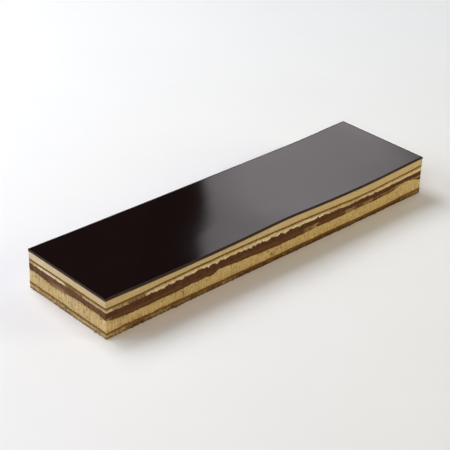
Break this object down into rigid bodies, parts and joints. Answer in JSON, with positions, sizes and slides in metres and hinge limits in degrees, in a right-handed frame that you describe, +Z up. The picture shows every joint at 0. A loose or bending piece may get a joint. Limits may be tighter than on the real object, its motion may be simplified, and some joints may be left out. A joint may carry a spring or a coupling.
{
  "type": "opera cake",
  "caption": "Long rectangular strip of layered sponge, coffee buttercream and chocolate ganache with a smooth mirror glaze, its straight cut sides showing the layers.",
  "frame": {"origin": "middle of the flat underside, under the middle of the strip's box", "axes": "+X along the strip, +Y across it, +Z up through the layers to the glaze"},
  "size_m": [0.376, 0.101, 0.0379],
  "materials": {
    "base_biscuit": "coffee-soaked sponge crumb with a dark skin above and below",
    "lower_buttercream": "dull knife-cut coffee buttercream with fine pores",
    "middle_biscuit": "dark soaked sponge crumb",
    "ganache": "satin, dragged by the knife",
    "upper_biscuit": "pale sponge crumb",
    "upper_buttercream": "smooth, dull knife-cut coffee buttercream",
    "glaze": "mirror-smooth dark chocolate glaze"
  },
  "bodies": {
    "root": {"base_biscuit": "base_biscuit", "lower_buttercream": "lower_buttercream", "middle_biscuit": "middle_biscuit", "ganache": "ganache", "upper_biscuit": "upper_biscuit", "upper_buttercream": "upper_buttercream", "glaze": "glaze"}
  },
  "joints": []
}
